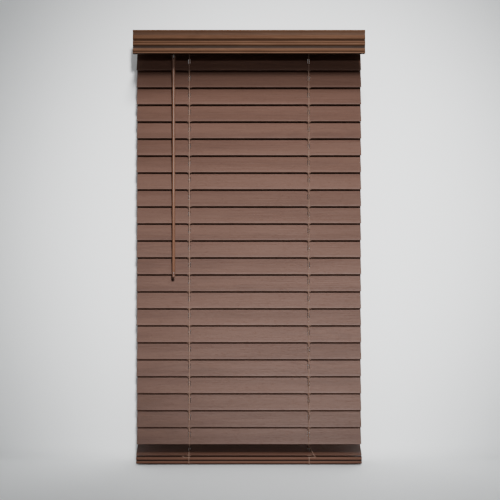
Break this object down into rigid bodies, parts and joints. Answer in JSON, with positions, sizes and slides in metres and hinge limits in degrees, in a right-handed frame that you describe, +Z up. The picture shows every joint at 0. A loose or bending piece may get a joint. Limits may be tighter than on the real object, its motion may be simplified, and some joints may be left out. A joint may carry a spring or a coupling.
{
  "type": "venetian blind",
  "caption": "Wood-look horizontal venetian blind with moulded valance, ladder cords, tilt wand and spring-balanced cordless lift; slats closed.",
  "frame": {"origin": "middle of the top faces of the mounting brackets, where they meet the head of the window", "axes": "+Z up, +X to the right seen from the room, room side at -Y"},
  "size_m": [0.584, 0.0779, 1.0963],
  "materials": {
    "slat_wood": "embossed grain, satin",
    "valance_wood": "smooth stained, satin",
    "rail_wood": "smooth stained, satin",
    "wand_wood": "satin",
    "cord": "braided polyester",
    "painted_steel": "baked enamel",
    "zinc_steel": "zinc plated",
    "brown_plastic": "moulded",
    "clear_plastic": "moulded",
    "motor_plastic": "moulded",
    "white_plastic": "moulded"
  },
  "bodies": {
    "headrail": {"headrail": "painted_steel", "end_caps": "brown_plastic", "mounting_brackets": "painted_steel", "bracket_doors": "painted_steel", "valance": "valance_wood", "valance_clips": "clear_plastic", "tilter_housing": "white_plastic", "drum_cradles": "white_plastic", "lift_motor": "motor_plastic"},
    "tilt_rod": {"tilt_rod": "zinc_steel", "worm_gear": "white_plastic", "ladder_drums": "white_plastic"},
    "tilter_worm": {"tilter_worm": "zinc_steel"},
    "wand_hook": {"wand_hook": "zinc_steel"},
    "wand": {"wand": "wand_wood"},
    "cord_spool": {"cord_spool": "white_plastic"},
    "bottom_rail": {"bottom_rail": "rail_wood", "rail_plugs": "brown_plastic", "lift_cords": "cord"},
    "ladder_front": {"ladder_cords_front": "cord"},
    "ladder_rear": {"ladder_cords_rear": "cord"},
    "slat_01": {"slat_01": "slat_wood"},
    "slat_02": {"slat_02": "slat_wood"},
    "slat_03": {"slat_03": "slat_wood"},
    "slat_04": {"slat_04": "slat_wood"},
    "slat_05": {"slat_05": "slat_wood"},
    "slat_06": {"slat_06": "slat_wood"},
    "slat_07": {"slat_07": "slat_wood"},
    "carrier_08": {"ladder_rungs_08": "cord"},
    "slat_08": {"slat_08": "slat_wood"},
    "carrier_09": {"ladder_rungs_09": "cord"},
    "slat_09": {"slat_09": "slat_wood"},
    "carrier_10": {"ladder_rungs_10": "cord"},
    "slat_10": {"slat_10": "slat_wood"},
    "carrier_11": {"ladder_rungs_11": "cord"},
    "slat_11": {"slat_11": "slat_wood"},
    "carrier_12": {"ladder_rungs_12": "cord"},
    "slat_12": {"slat_12": "slat_wood"},
    "carrier_13": {"ladder_rungs_13": "cord"},
    "slat_13": {"slat_13": "slat_wood"},
    "carrier_14": {"ladder_rungs_14": "cord"},
    "slat_14": {"slat_14": "slat_wood"},
    "carrier_15": {"ladder_rungs_15": "cord"},
    "slat_15": {"slat_15": "slat_wood"},
    "carrier_16": {"ladder_rungs_16": "cord"},
    "slat_16": {"slat_16": "slat_wood"},
    "carrier_17": {"ladder_rungs_17": "cord"},
    "slat_17": {"slat_17": "slat_wood"},
    "carrier_18": {"ladder_rungs_18": "cord"},
    "slat_18": {"slat_18": "slat_wood"},
    "carrier_19": {"ladder_rungs_19": "cord"},
    "slat_19": {"slat_19": "slat_wood"},
    "carrier_20": {"ladder_rungs_20": "cord"},
    "slat_20": {"slat_20": "slat_wood"},
    "carrier_21": {"ladder_rungs_21": "cord"},
    "slat_21": {"slat_21": "slat_wood"},
    "carrier_22": {"ladder_rungs_22": "cord"},
    "slat_22": {"slat_22": "slat_wood"},
    "slat_23": {"slat_23": "slat_wood"},
    "slat_24": {"slat_24": "slat_wood"}
  },
  "joints": [
    {"name": "tilt", "type": "hinge", "parent": "headrail", "child": "slat_01", "pos_m": [0, 0, -0.07], "axis": [-1, 0, 0], "range_deg": [0, 140], "deforming": ["ladder_rungs_08", "ladder_rungs_09", "ladder_rungs_10", "ladder_rungs_11", "ladder_rungs_12", "ladder_rungs_13", "ladder_rungs_14", "ladder_rungs_15", "ladder_rungs_16", "ladder_rungs_17", "ladder_rungs_18", "ladder_rungs_19", "ladder_rungs_20", "ladder_rungs_21", "ladder_rungs_22"]},
    {"name": "tilt_02", "type": "hinge", "parent": "headrail", "child": "slat_02", "pos_m": [0, 0, -0.11325], "axis": [-1, 0, 0], "range_deg": [0, 140]},
    {"name": "tilt_03", "type": "hinge", "parent": "headrail", "child": "slat_03", "pos_m": [0, 0, -0.1565], "axis": [-1, 0, 0], "range_deg": [0, 140]},
    {"name": "tilt_04", "type": "hinge", "parent": "headrail", "child": "slat_04", "pos_m": [0, 0, -0.19975], "axis": [-1, 0, 0], "range_deg": [0, 140]},
    {"name": "tilt_05", "type": "hinge", "parent": "headrail", "child": "slat_05", "pos_m": [0, 0, -0.243], "axis": [-1, 0, 0], "range_deg": [0, 140]},
    {"name": "tilt_06", "type": "hinge", "parent": "headrail", "child": "slat_06", "pos_m": [0, 0, -0.28625], "axis": [-1, 0, 0], "range_deg": [0, 140]},
    {"name": "tilt_07", "type": "hinge", "parent": "headrail", "child": "slat_07", "pos_m": [0, 0, -0.3295], "axis": [-1, 0, 0], "range_deg": [0, 140]},
    {"name": "lift", "type": "slide", "parent": "headrail", "child": "bottom_rail", "axis": [0, 0, 1], "range_m": [0, 0.5592], "deforming": ["lift_cords", "ladder_cords_front", "ladder_cords_rear"]},
    {"name": "lift_08", "type": "slide", "parent": "headrail", "child": "carrier_08", "axis": [0, 0, 1], "range_m": [0, 0.03496]},
    {"name": "tilt_08", "type": "hinge", "parent": "carrier_08", "child": "slat_08", "pos_m": [0, 0, -0.37275], "axis": [-1, 0, 0], "range_deg": [0, 140]},
    {"name": "lift_09", "type": "slide", "parent": "headrail", "child": "carrier_09", "axis": [0, 0, 1], "range_m": [0, 0.06991]},
    {"name": "tilt_09", "type": "hinge", "parent": "carrier_09", "child": "slat_09", "pos_m": [0, 0, -0.416], "axis": [-1, 0, 0], "range_deg": [0, 140]},
    {"name": "lift_10", "type": "slide", "parent": "headrail", "child": "carrier_10", "axis": [0, 0, 1], "range_m": [0, 0.10486]},
    {"name": "tilt_10", "type": "hinge", "parent": "carrier_10", "child": "slat_10", "pos_m": [0, 0, -0.45925], "axis": [-1, 0, 0], "range_deg": [0, 140]},
    {"name": "lift_11", "type": "slide", "parent": "headrail", "child": "carrier_11", "axis": [0, 0, 1], "range_m": [0, 0.13981]},
    {"name": "tilt_11", "type": "hinge", "parent": "carrier_11", "child": "slat_11", "pos_m": [0, 0, -0.5025], "axis": [-1, 0, 0], "range_deg": [0, 140]},
    {"name": "lift_12", "type": "slide", "parent": "headrail", "child": "carrier_12", "axis": [0, 0, 1], "range_m": [0, 0.17476]},
    {"name": "tilt_12", "type": "hinge", "parent": "carrier_12", "child": "slat_12", "pos_m": [0, 0, -0.54575], "axis": [-1, 0, 0], "range_deg": [0, 140]},
    {"name": "lift_13", "type": "slide", "parent": "headrail", "child": "carrier_13", "axis": [0, 0, 1], "range_m": [0, 0.20971]},
    {"name": "tilt_13", "type": "hinge", "parent": "carrier_13", "child": "slat_13", "pos_m": [0, 0, -0.589], "axis": [-1, 0, 0], "range_deg": [0, 140]},
    {"name": "lift_14", "type": "slide", "parent": "headrail", "child": "carrier_14", "axis": [0, 0, 1], "range_m": [0, 0.24466]},
    {"name": "tilt_14", "type": "hinge", "parent": "carrier_14", "child": "slat_14", "pos_m": [0, 0, -0.63225], "axis": [-1, 0, 0], "range_deg": [0, 140]},
    {"name": "lift_15", "type": "slide", "parent": "headrail", "child": "carrier_15", "axis": [0, 0, 1], "range_m": [0, 0.27961]},
    {"name": "tilt_15", "type": "hinge", "parent": "carrier_15", "child": "slat_15", "pos_m": [0, 0, -0.6755], "axis": [-1, 0, 0], "range_deg": [0, 140]},
    {"name": "lift_16", "type": "slide", "parent": "headrail", "child": "carrier_16", "axis": [0, 0, 1], "range_m": [0, 0.31456]},
    {"name": "tilt_16", "type": "hinge", "parent": "carrier_16", "child": "slat_16", "pos_m": [0, 0, -0.71875], "axis": [-1, 0, 0], "range_deg": [0, 140]},
    {"name": "lift_17", "type": "slide", "parent": "headrail", "child": "carrier_17", "axis": [0, 0, 1], "range_m": [0, 0.34951]},
    {"name": "tilt_17", "type": "hinge", "parent": "carrier_17", "child": "slat_17", "pos_m": [0, 0, -0.762], "axis": [-1, 0, 0], "range_deg": [0, 140]},
    {"name": "lift_18", "type": "slide", "parent": "headrail", "child": "carrier_18", "axis": [0, 0, 1], "range_m": [0, 0.38446]},
    {"name": "tilt_18", "type": "hinge", "parent": "carrier_18", "child": "slat_18", "pos_m": [0, 0, -0.80525], "axis": [-1, 0, 0], "range_deg": [0, 140]},
    {"name": "lift_19", "type": "slide", "parent": "headrail", "child": "carrier_19", "axis": [0, 0, 1], "range_m": [0, 0.41941]},
    {"name": "tilt_19", "type": "hinge", "parent": "carrier_19", "child": "slat_19", "pos_m": [0, 0, -0.8485], "axis": [-1, 0, 0], "range_deg": [0, 140]},
    {"name": "lift_20", "type": "slide", "parent": "headrail", "child": "carrier_20", "axis": [0, 0, 1], "range_m": [0, 0.45436]},
    {"name": "tilt_20", "type": "hinge", "parent": "carrier_20", "child": "slat_20", "pos_m": [0, 0, -0.89175], "axis": [-1, 0, 0], "range_deg": [0, 140]},
    {"name": "lift_21", "type": "slide", "parent": "headrail", "child": "carrier_21", "axis": [0, 0, 1], "range_m": [0, 0.48931]},
    {"name": "tilt_21", "type": "hinge", "parent": "carrier_21", "child": "slat_21", "pos_m": [0, 0, -0.935], "axis": [-1, 0, 0], "range_deg": [0, 140]},
    {"name": "lift_22", "type": "slide", "parent": "headrail", "child": "carrier_22", "axis": [0, 0, 1], "range_m": [0, 0.52426]},
    {"name": "tilt_22", "type": "hinge", "parent": "carrier_22", "child": "slat_22", "pos_m": [0, 0, -0.97825], "axis": [-1, 0, 0], "range_deg": [0, 140]},
    {"name": "tilt_23", "type": "hinge", "parent": "bottom_rail", "child": "slat_23", "pos_m": [0, 0, -1.0215], "axis": [-1, 0, 0], "range_deg": [0, 140]},
    {"name": "tilt_24", "type": "hinge", "parent": "bottom_rail", "child": "slat_24", "pos_m": [0, 0, -1.0597], "axis": [-1, 0, 0], "range_deg": [0, 50]},
    {"name": "rod_turn", "type": "hinge", "parent": "headrail", "child": "tilt_rod", "pos_m": [0, 0, -0.02], "axis": [-1, 0, 0], "range_deg": [0, 192]},
    {"name": "worm_turn", "type": "hinge", "parent": "headrail", "child": "tilter_worm", "pos_m": [-0.19, -0.01126, -0.0135], "axis": [0, -0.5, -0.866], "range_deg": [0, 2880]},
    {"name": "wand_twist", "type": "hinge", "parent": "headrail", "child": "wand_hook", "pos_m": [-0.19, -0.03201, -0.04944], "axis": [0, 0, -1], "range_deg": [0, 2880]},
    {"name": "wand_swing", "type": "hinge", "parent": "wand_hook", "child": "wand", "pos_m": [-0.19, -0.03201, -0.06484], "axis": [-1, 0, 0], "range_deg": [0, 60]},
    {"name": "spool_turn", "type": "hinge", "parent": "headrail", "child": "cord_spool", "pos_m": [0, 0, -0.035], "axis": [0, 0, 1], "range_deg": [0, 2522.83]},
    {"name": "front_cords", "type": "hinge", "parent": "slat_01", "child": "ladder_front", "pos_m": [0, -0.00869, -0.09386], "axis": [-1, 0, 0], "range_deg": [-140, 0]},
    {"name": "rear_cords", "type": "hinge", "parent": "slat_01", "child": "ladder_rear", "pos_m": [0, 0.00869, -0.04613], "axis": [-1, 0, 0], "range_deg": [-140, 0]}
  ],
  "couplings": [
    {"joint": "tilt_02", "follows": "tilt", "ratio": 1},
    {"joint": "tilt_03", "follows": "tilt", "ratio": 1},
    {"joint": "tilt_04", "follows": "tilt", "ratio": 1},
    {"joint": "tilt_05", "follows": "tilt", "ratio": 1},
    {"joint": "tilt_06", "follows": "tilt", "ratio": 1},
    {"joint": "tilt_07", "follows": "tilt", "ratio": 1},
    {"joint": "lift_08", "follows": "lift", "ratio": 0.0625},
    {"joint": "tilt_08", "follows": "tilt", "ratio": 1},
    {"joint": "lift_09", "follows": "lift", "ratio": 0.125},
    {"joint": "tilt_09", "follows": "tilt", "ratio": 1},
    {"joint": "lift_10", "follows": "lift", "ratio": 0.1875},
    {"joint": "tilt_10", "follows": "tilt", "ratio": 1},
    {"joint": "lift_11", "follows": "lift", "ratio": 0.25},
    {"joint": "tilt_11", "follows": "tilt", "ratio": 1},
    {"joint": "lift_12", "follows": "lift", "ratio": 0.3125},
    {"joint": "tilt_12", "follows": "tilt", "ratio": 1},
    {"joint": "lift_13", "follows": "lift", "ratio": 0.375},
    {"joint": "tilt_13", "follows": "tilt", "ratio": 1},
    {"joint": "lift_14", "follows": "lift", "ratio": 0.4375},
    {"joint": "tilt_14", "follows": "tilt", "ratio": 1},
    {"joint": "lift_15", "follows": "lift", "ratio": 0.5},
    {"joint": "tilt_15", "follows": "tilt", "ratio": 1},
    {"joint": "lift_16", "follows": "lift", "ratio": 0.5625},
    {"joint": "tilt_16", "follows": "tilt", "ratio": 1},
    {"joint": "lift_17", "follows": "lift", "ratio": 0.625},
    {"joint": "tilt_17", "follows": "tilt", "ratio": 1},
    {"joint": "lift_18", "follows": "lift", "ratio": 0.6875},
    {"joint": "tilt_18", "follows": "tilt", "ratio": 1},
    {"joint": "lift_19", "follows": "lift", "ratio": 0.75},
    {"joint": "tilt_19", "follows": "tilt", "ratio": 1},
    {"joint": "lift_20", "follows": "lift", "ratio": 0.8125},
    {"joint": "tilt_20", "follows": "tilt", "ratio": 1},
    {"joint": "lift_21", "follows": "lift", "ratio": 0.875},
    {"joint": "tilt_21", "follows": "tilt", "ratio": 1},
    {"joint": "lift_22", "follows": "lift", "ratio": 0.9375},
    {"joint": "tilt_22", "follows": "tilt", "ratio": 1},
    {"joint": "tilt_23", "follows": "tilt", "ratio": 1},
    {"joint": "tilt_24", "follows": "tilt", "ratio": 0.35714},
    {"joint": "rod_turn", "follows": "tilt", "ratio": 1.3714},
    {"joint": "worm_turn", "follows": "tilt", "ratio": 20.571},
    {"joint": "wand_twist", "follows": "tilt", "ratio": 20.571},
    {"joint": "spool_turn", "follows": "lift", "rad_per_m": 78.74},
    {"joint": "front_cords", "follows": "tilt", "ratio": -1},
    {"joint": "rear_cords", "follows": "tilt", "ratio": -1}
  ]
}
